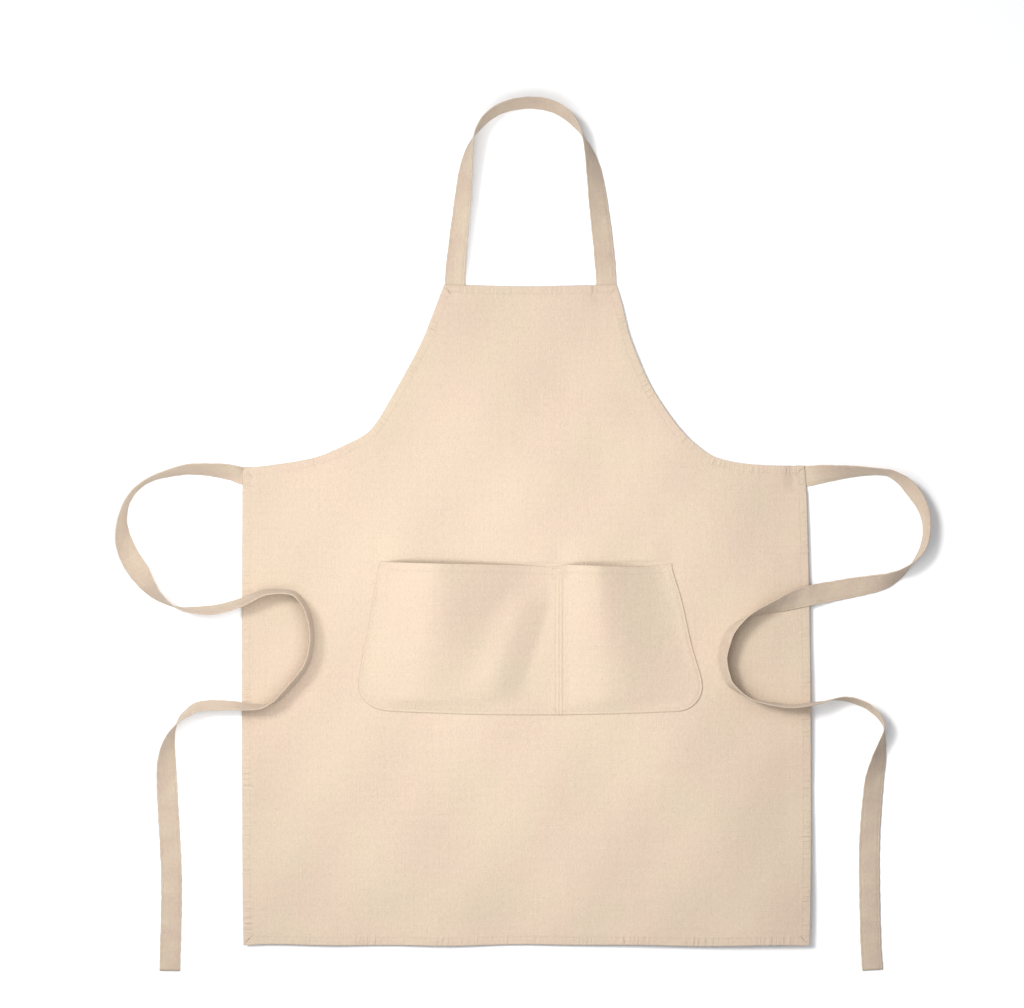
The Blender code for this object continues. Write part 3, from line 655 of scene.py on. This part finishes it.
def strap_mesh(name, frames, pinch=0.0):
    """The strap's section carried along its frames: rounded folds at both edges, a furrow under each row
    of topstitching, and edges that waver a little where the stitches draw them in."""
    centre, across, face = (values[:, None] for values in frames)
    run = np.concatenate([[0], np.cumsum(np.linalg.norm(np.diff(frames[0], axis=0), axis=1))])[:, None]
    width = 1 - pinch * (1 - smooth((run - TAB_LENGTH - 0.004) / 0.026))
    out = SECTION[None] * STRAP_WIDTH / 2 * width
    waver = 0.00018 * np.sin(run * 2 * math.pi / 0.0145) + 0.00012 * np.sin(run * 2 * math.pi / 0.037 + 1)
    out = out * (1 + waver / (STRAP_WIDTH / 2) * np.abs(SECTION[None]))
    edge = STRAP_WIDTH / 2 - np.abs(SECTION[None]) * STRAP_WIDTH / 2
    round_off = np.sqrt(1 - (1 - np.clip(edge / 0.0010, 0, 1)) ** 2)
    furrow = 0.00028 * bell((edge - STRAP_ROW) / 0.0008)
    soft = 0.00010 * np.sin(run * 2 * math.pi / 0.019 + 3 * SECTION[None])
    half = np.maximum(STRAP_THICK / 2 * round_off - furrow * round_off, 0.00004)
    upper = centre + out[..., None] * across + (half + soft * round_off)[..., None] * face
    lower = centre + out[..., None] * across - (half - soft * round_off)[..., None] * face
    cloth = np.dstack([out, np.broadcast_to(run, out.shape)])
    edges = np.dstack([np.broadcast_to(run, out.shape), np.broadcast_to(edge, out.shape)])
    # a sheet's columns go to the right of the way its rows run
    return sheet_mesh(name, upper[:, ::-1], lower[:, ::-1],
                      {"cloth": cloth[:, ::-1], "hem": edges[:, ::-1]})


def tab(stations, heading):
    """Stations that carry a strap straight back behind the hem from its first station."""
    steps = np.arange(-round(TAB_LENGTH / STRAP_STATION), 0)[:, None] * STRAP_STATION
    back = stations[0, :2] + steps * np.asarray(heading, float)
    return np.column_stack([back, np.full(len(back), stations[0, 2])])


route = [(NECK_MIDDLE + NECK_SPREAD * across, TOP_Y + NECK_LOOP_HEIGHT * up, roll)
         for across, up, roll in NECK_ROUTE]
neck_stations = curve_through(route, STRAP_STATION)
neck_stations[:, 2] = running_mean(neck_stations[:, 2], 4)
neck_stations[0, 2] = neck_stations[-1, 2] = 0
neck_stations = np.vstack([tab(neck_stations, (0, 1)), neck_stations,
                           tab(neck_stations[::-1], (0, 1))[::-1]])
neck_frames = strap_frames(neck_stations, np.zeros(len(neck_stations)))
neck_strap = strap_mesh("folded_neck_strap", neck_frames)
strap_canvas = canvas_material("strap_canvas", 0.92, (STRAP_ROW, 0.0050, 0.00022), 26.0, 0.30, False)
neck_strap.data.materials.append(strap_canvas)
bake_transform(neck_strap)
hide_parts("neck_strap")

# ================================================================ the waist ties
# Two strips like the neck strap, over a metre long, with one end sewn behind each side hem. Each lies in a
# loose S: out and round, back over the skirt on its edge, and away down beside the skirt to a plain end.

# Across and up from the root, and roll in degrees
LEFT_ROOT_X = -0.3492
RIGHT_ROOT_X = 0.3466
LEFT_TIE_ROUTE = [
    (0.0000, 0.0000, 0), (-0.0035, 0.0010, -10), (-0.0085, 0.0028, -25), (-0.0155, 0.0045, -38),
    (-0.0310, 0.0066, -50), (-0.0495, 0.0080, -55), (-0.0700, 0.0076, -62), (-0.0965, 0.0015, -74),
    (-0.1150, -0.0055, -82), (-0.1310, -0.0170, -82), (-0.1425, -0.0335, -79), (-0.1480, -0.0545, -70),
    (-0.1480, -0.0730, -48), (-0.1440, -0.0885, -31), (-0.1375, -0.1035, -16), (-0.1280, -0.1180, 6),
    (-0.1175, -0.1330, 34), (-0.1050, -0.1470, 60), (-0.0930, -0.1560, 77), (-0.0805, -0.1625, 90),
    (-0.0645, -0.1655, 105),
    (-0.0320, -0.1650, 116), (0.0000, -0.1560, 113), (0.0295, -0.1440, 104), (0.0595, -0.1440, 99),
    (0.0725, -0.1535, 100), (0.0815, -0.1700, 100), (0.0860, -0.1905, 100), (0.0855, -0.2115, 100),
    (0.0805, -0.2305, 101), (0.0710, -0.2465, 103), (0.0465, -0.2735, 101), (0.0340, -0.2815, 90),
    (0.0185, -0.2855, 77), (-0.0160, -0.2835, 65), (-0.0520, -0.2845, 62), (-0.0680, -0.2930, 70),
    (-0.0790, -0.3035, 83), (-0.0895, -0.3245, 114), (-0.0935, -0.3535, 150), (-0.0925, -0.4000, 172),
    (-0.0880, -0.4995, 180), (-0.0900, -0.6120, 180),
]
RIGHT_TIE_ROUTE = [
    (0.0000, 0.0000, 0), (0.0060, 0.0000, 8), (0.0150, 0.0015, 22), (0.0280, 0.0030, 37),
    (0.0635, 0.0055, 61), (0.0970, 0.0045, 76), (0.1100, 0.0000, 69), (0.1220, -0.0080, 58),
    (0.1325, -0.0200, 52), (0.1415, -0.0335, 58), (0.1470, -0.0475, 68), (0.1490, -0.0630, 74),
    (0.1475, -0.0790, 76), (0.1420, -0.0940, 79), (0.1325, -0.1065, 90), (0.1210, -0.1175, 108),
    (0.1070, -0.1260, 128), (0.0910, -0.1320, 146), (0.0515, -0.1395, 168), (0.0045, -0.1480, 174),
    (-0.0140, -0.1530, 152), (-0.0320, -0.1590, 132), (-0.0625, -0.1695, 103), (-0.0760, -0.1770, 90),
    (-0.0875, -0.1865, 75), (-0.0955, -0.1975, 67), (-0.1030, -0.2240, 66), (-0.0970, -0.2505, 72),
    (-0.0885, -0.2615, 79), (-0.0760, -0.2705, 87), (-0.0600, -0.2775, 94), (-0.0190, -0.2840, 97),
    (0.0180, -0.2795, 93), (0.0330, -0.2760, 86), (0.0475, -0.2750, 76), (0.0625, -0.2785, 73),
    (0.0760, -0.2845, 73), (0.0870, -0.2935, 77), (0.0945, -0.3040, 84), (0.0965, -0.3145, 94),
    (0.0920, -0.3395, 128), (0.0885, -0.3575, 145), (0.0840, -0.3830, 162), (0.0790, -0.4630, 178),
    (0.0805, -0.5685, 180), (0.0830, -0.6110, 180),
]


def tie_floor(stations):
    """What the tie lies on: the floor, or the canvas where it passes over the skirt."""
    roll = np.radians(stations[:, 2])
    heading = np.gradient(stations[:, :2], axis=0)
    heading /= np.linalg.norm(heading, axis=1)[:, None]
    reach = np.stack([-heading[:, 1], heading[:, 0]], 1) * np.cos(roll)[:, None] * STRAP_WIDTH / 2
    heights = []
    for share in (-1, -0.5, 0, 0.5, 1):
        spot = stations[:, :2] + share * reach
        side = np.where(spot[:, 0] < 0, 0.3497, 0.3512)
        inside = smooth((side + 0.004 - np.abs(spot[:, 0])) / 0.004)
        heights.append(inside * panel_top(spot[:, 0], spot[:, 1]))
    height = np.max(heights, axis=0)
    height[:20] = 0
    padded = np.pad(height, 3, mode="edge")
    height = np.max([padded[shift:shift + len(height)] for shift in range(7)], axis=0)
    return running_mean(height, 3)


TIE_BRIDGE = 6               # stations that a tie spans each way where it turns over
LEFT_PINCH = 0.14            # the left tie's root is gathered narrower by this share

ties = {}
for label, side, root_x, steps, pinch in (("left", -1, LEFT_ROOT_X, LEFT_TIE_ROUTE, LEFT_PINCH),
                                          ("right", 1, RIGHT_ROOT_X, RIGHT_TIE_ROUTE, 0.0)):
    stations = curve_through([(root_x + x, TIE_Y + y, roll) for x, y, roll in steps], STRAP_STATION)
    settled = smooth(np.arange(len(stations)) / 12)
    stations[:, 2] += settled * (running_mean(running_mean(stations[:, 2], 4), 3) - stations[:, 2])
    floor = tie_floor(stations)
    hidden = tab(stations, (side, 0))
    stations = np.vstack([hidden, stations])
    frames = strap_frames(stations, np.concatenate([np.zeros(len(hidden)), floor]), TIE_BRIDGE)
    tie = strap_mesh(f"folded_{label}_tie", frames, pinch)
    tie.data.materials.append(strap_canvas)
    ties[label] = (tie, frames, len(hidden))

# ================================================================ the stitching
# Cotton thread close to the canvas in colour, about eight stitches to the inch. Each stitch is a short
# round bead that comes up out of the cloth and goes down again, a little proud of the furrow that it pulls.

STITCH_PITCH = 0.0031
STITCH_LENGTH = 0.0025
STITCH_RADIUS = 0.00026


def stitch_mesh(name, rows):
    """Rows of stitches, each row a line of points and the cloth's outward directions there. A stitch is a
    tube of five rings: it rises by sin(pi t) over its length and is thinner at both ends."""
    t = np.linspace(0, 1, 5)
    turn = np.arange(6) * math.pi / 3
    centres, normals = [], []
    for points, outward in rows:
        run = np.concatenate([[0], np.cumsum(np.linalg.norm(np.diff(points, axis=0), axis=1))])
        count = max(1, round(run[-1] / STITCH_PITCH))
        start = (np.arange(count) + 0.5) * run[-1] / count - STITCH_LENGTH / 2
        at = (start[:, None] + t * STITCH_LENGTH).ravel()
        for found, table in ((centres, points), (normals, outward)):
            placed = np.stack([np.interp(at, run, column) for column in table.T], 1)
            found.append(placed.reshape(count, 5, 3))
    centre = np.concatenate(centres)
    normal = np.concatenate(normals)
    normal /= np.linalg.norm(normal, axis=2)[..., None]
    tangent = np.gradient(centre, axis=1)
    tangent /= np.linalg.norm(tangent, axis=2)[..., None]
    aside = np.cross(tangent, normal)
    aside /= np.linalg.norm(aside, axis=2)[..., None]
    rise = STITCH_RADIUS * (0.85 * np.sin(math.pi * t) - 0.45)[None, :, None]
    radius = STITCH_RADIUS * (0.6 + 0.4 * np.sin(math.pi * t))[None, :, None, None]
    ring = (np.cos(turn)[None, None, :, None] * aside[:, :, None]
            + np.sin(turn)[None, None, :, None] * normal[:, :, None])
    points = (centre + rise * normal)[:, :, None] + radius * ring
    count = len(points)
    i, j = np.meshgrid(np.arange(4), np.arange(6), indexing="ij")
    k = (j + 1) % 6
    tube = np.stack([i * 6 + j, i * 6 + k, (i + 1) * 6 + k, (i + 1) * 6 + j], -1).reshape(-1, 4)
    caps = np.array([[3, 2, 1, 0], [5, 4, 3, 0], [24, 25, 26, 27], [24, 27, 28, 29]])
    one = np.concatenate([tube, caps])
    faces = (one[None] + (np.arange(count) * 30)[:, None, None]).reshape(-1, 4)
    obj = mesh_object(name, points.reshape(-1, 3), faces)
    obj.data.materials.append(thread_material)
    return obj


def make_thread_material():
    """Undyed cotton sewing thread, twisted, with a low sheen."""
    material = bpy.data.materials.new("cotton_thread")
    material.use_nodes = True
    tree = material.node_tree
    shader = tree.nodes["Principled BSDF"]
    root = Wire(tree)
    place = root.add("ShaderNodeTexCoord", {}, {}, "Object")
    ply = place.add("ShaderNodeTexWave", {"wave_type": "BANDS", "bands_direction": "DIAGONAL"},
                    {"Vector": place, "Scale": 900.0, "Distortion": 1.5}, "Fac")
    tone = root.add("ShaderNodeTexNoise", {}, {"Vector": place, "Scale": 120.0, "Detail": 2.0})
    colour = root.add("ShaderNodeMix", {"data_type": "RGBA"},
                      {0: tone, 6: (0.50, 0.405, 0.315, 1), 7: (0.59, 0.48, 0.375, 1)}, 2)
    tree.links.new(colour.times(0.85 + ply * 0.2).socket, shader.inputs["Base Color"])
    bump = root.add("ShaderNodeBump", {}, {"Strength": 1.0, "Distance": 1.0, "Height": ply * 0.00004})
    tree.links.new(bump.socket, shader.inputs["Normal"])
    shader.inputs["Roughness"].default_value = 0.7
    shader.inputs["Sheen Weight"].default_value = 0.3
    return material


thread_material = make_thread_material()
UP = np.array([0.0, 0.0, 1.0])


def on_panel(line):
    """A row on the panel's face."""
    height = panel_top(line[:, 0], line[:, 1])
    return np.column_stack([line, height + 0.00005]), np.broadcast_to(UP, (len(line), 3))


def inset(line, distance, outline):
    """A line moved to its left by a distance, without what then comes nearer than that to the outline."""
    step = np.gradient(line, axis=0)
    step /= np.linalg.norm(step, axis=1)[:, None]
    moved = line + distance * np.stack([-step[:, 1], step[:, 0]], 1)
    return moved[edge_distance(moved, outline)[0] > distance - 0.0002]


def sew(node, rows):
    """Rows of stitches through the panel, in place of the frame's plain thread."""
    stitches = stitch_mesh(node.replace("_thread", "_stitches"), rows)
    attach(stitches, "apron")
    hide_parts(node)


hem_rows = {
    "bottom_hem_thread": bottom_edge, "right_side_hem_thread": right_side,
    "right_armhole_thread": right_armhole, "top_hem_thread": top_edge[::-1],
    "left_armhole_thread": left_armhole[::-1], "left_side_hem_thread": left_side[::-1],
}
for node, line in hem_rows.items():
    sew(node, [on_panel(inset(line, HEM_ROW, panel_outline))])


def on_pocket(line):
    """A row on the pocket's face."""
    distance, seam, mouth, run = pocket_measures(line)
    height = pocket_faces(line[:, 0], line[:, 1], distance, seam, mouth)[1]
    return np.column_stack([line, height + 0.00005]), np.broadcast_to(UP, (len(line), 3))


def dense(points, spacing=0.002):
    """A straight-sided line through points, with a point every `spacing`."""
    line = np.asarray(points, float)
    length = length_of(line)
    return along(line, np.linspace(0, length, max(2, round(length / spacing) + 1)))[0]


def square_sides(corners):
    """The four sides between four corners."""
    return [dense([a, b]) for a, b in zip(corners, corners[1:] + corners[:1])]


mouth_line = pocket_plan[-1] - np.array([0, MOUTH_ROW])
inside = (mouth_line[:, 0] > mouth_line[0, 0] + 0.005) & (mouth_line[:, 0] < mouth_line[-1, 0] - 0.005)
sew("pocket_mouth_thread", [on_pocket(mouth_line[inside])])
edge_row = inset(dense(pocket_sewn), POCKET_SEAM, pocket_rim)
sew("pocket_edge_thread", [on_pocket(edge_row[edge_row[:, 1] < mouth_line[:, 1].mean() - 0.001])])
tack_top = np.interp(DIVIDER_X, mouth_line[:, 0], mouth_line[:, 1]) + 0.0070
corners = [(DIVIDER_X - TACK[0], tack_top), (DIVIDER_X + TACK[0], tack_top),
           (DIVIDER_X + TACK[0], tack_top - TACK[1]), (DIVIDER_X - TACK[0], tack_top - TACK[1])]
crossed = [dense(corners[0:4:2]), dense(corners[1:4:2])]
sew("pocket_bartack_thread", [on_pocket(line) for line in square_sides(corners) + crossed])
foot_y = np.interp(DIVIDER_X, pocket_plan[0, :, 0], pocket_plan[0, :, 1]) + POCKET_SEAM + 0.001
sew("pocket_divider_thread", [on_pocket(dense([(x, tack_top - TACK[1] - 0.001), (x, foot_y)]))
                              for x in (DIVIDER_X - DIVIDER_ROW, DIVIDER_X + DIVIDER_ROW)])


def box_stitches(node, low_x, high_x, low_y, high_y):
    """A sewn box through the hem and the strap's end behind it."""
    corners = [(low_x, low_y), (high_x, low_y), (high_x, high_y), (low_x, high_y)]
    sew(node, [on_panel(line) for line in square_sides(corners)])


half = STRAP_WIDTH / 2 - 0.002      # of a box, across its strap
for label, middle in (("left", NECK_MIDDLE - NECK_SPREAD), ("right", NECK_MIDDLE + NECK_SPREAD)):
    box_stitches(f"neck_strap_{label}_anchor_thread", middle - half, middle + half, TOP_Y - 0.0080,
                 TOP_Y - 0.0026)
box_stitches("left_tie_anchor_thread", LEFT_ROOT_X + 0.0022, LEFT_ROOT_X + 0.0078, TIE_Y - half,
             TIE_Y + half - 0.001)
box_stitches("right_tie_anchor_thread", RIGHT_ROOT_X - 0.0078, RIGHT_ROOT_X - 0.0022, TIE_Y - half,
             TIE_Y + half - 0.001)


def strap_rows(frames, first, last, far_end):
    """Topstitching on both faces of a strap, down both edges, and across its free end."""
    centre, across, face = (values[first:last] for values in frames)
    reach = STRAP_WIDTH / 2 - STRAP_ROW
    level = STRAP_THICK / 2 - 0.00022
    rows = []
    for outward in (face, -face):
        for side in (-1, 1):
            rows.append((centre + side * reach * across + level * outward, outward))
        if far_end:
            shares = np.linspace(-1, 1, 12)[:, None]
            rows.append((centre[-1] + shares * (reach - 0.0012) * across[-1] + level * outward[-1],
                         np.broadcast_to(outward[-1], (12, 3))))
    return rows


neck_rows = strap_rows(neck_frames, 5, len(neck_stations) - 5, False)
neck_stitches = stitch_mesh("neck_strap_stitches", neck_rows)
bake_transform(neck_stitches)
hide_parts("neck_strap_thread")

for label, (tie, frames, hidden) in ties.items():
    rows = strap_rows(frames, hidden + 1, len(frames[0]) - 1, True)
    stitches = stitch_mesh(f"{label}_tie_stitches", rows)
    for obj in (tie, stitches):
        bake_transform(obj)
    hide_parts(f"{label}_waist_tie")
    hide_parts(f"{label}_tie_thread")

# ================================================================ the floor, the light and the camera
# A plain white floor and pale light from all round, with a low soft sun from the left and a soft box above
# the middle of the apron, higher than a lifted tie reaches.

FLOOR_HALF = 12.0
FLOOR_Z = -0.0003            # a hair below the cloth, so that the two never share a plane
FLOOR_CORNERS = ((-1, -1), (1, -1), (1, 1), (-1, 1))
floor = mesh_object("floor", [(FLOOR_HALF * x, FLOOR_HALF * y, FLOOR_Z) for x, y in FLOOR_CORNERS],
                    [(0, 1, 2, 3)])
white = bpy.data.materials.new("white_floor")
white.use_nodes = True
white_shader = white.node_tree.nodes["Principled BSDF"]
white_shader.inputs["Base Color"].default_value = (0.955, 0.965, 0.985, 1)
white_shader.inputs["Roughness"].default_value = 1.0
white_shader.inputs["Specular IOR Level"].default_value = 0.0
floor.data.materials.append(white)

world = bpy.data.worlds.new("studio")
world.use_nodes = True
background = world.node_tree.nodes["Background"]
background.inputs["Color"].default_value = (0.97, 0.985, 1.0, 1)
background.inputs["Strength"].default_value = 0.52
bpy.context.scene.world = world

key = bpy.data.lights.new("key", "SUN")
key.energy = 1.6
key.angle = math.radians(14)
key.color = (1.0, 0.985, 0.96)
key_object = bpy.data.objects.new("key", key)
key_object.rotation_euler = (math.radians(-18), math.radians(-34), 0)
bpy.context.scene.collection.objects.link(key_object)

lamp = bpy.data.lights.new("soft_box", "AREA")
lamp.shape = "SQUARE"
lamp.size = 0.8
lamp.energy = 5.36
lamp.color = (1.0, 0.99, 0.97)
lamp_object = bpy.data.objects.new("soft_box", lamp)
lamp_object.location = (-0.15, -0.06, 0.64)
lamp_object.visible_camera = False
bpy.context.scene.collection.objects.link(lamp_object)

VIEW_WIDTH = 1.2664          # of floor across the picture
CAMERA_HEIGHT = 6.0
SENSOR_WIDTH = 36.0
camera_data = bpy.data.cameras.new("camera")
camera_data.sensor_width = SENSOR_WIDTH
camera_data.lens = SENSOR_WIDTH * CAMERA_HEIGHT / VIEW_WIDTH
camera_data.clip_end = 100.0
camera = bpy.data.objects.new("camera", camera_data)
camera.location = (-0.0161, 0.0214, CAMERA_HEIGHT)
bpy.context.scene.collection.objects.link(camera)
bpy.context.scene.camera = camera
bpy.context.scene.view_settings.view_transform = "Standard"
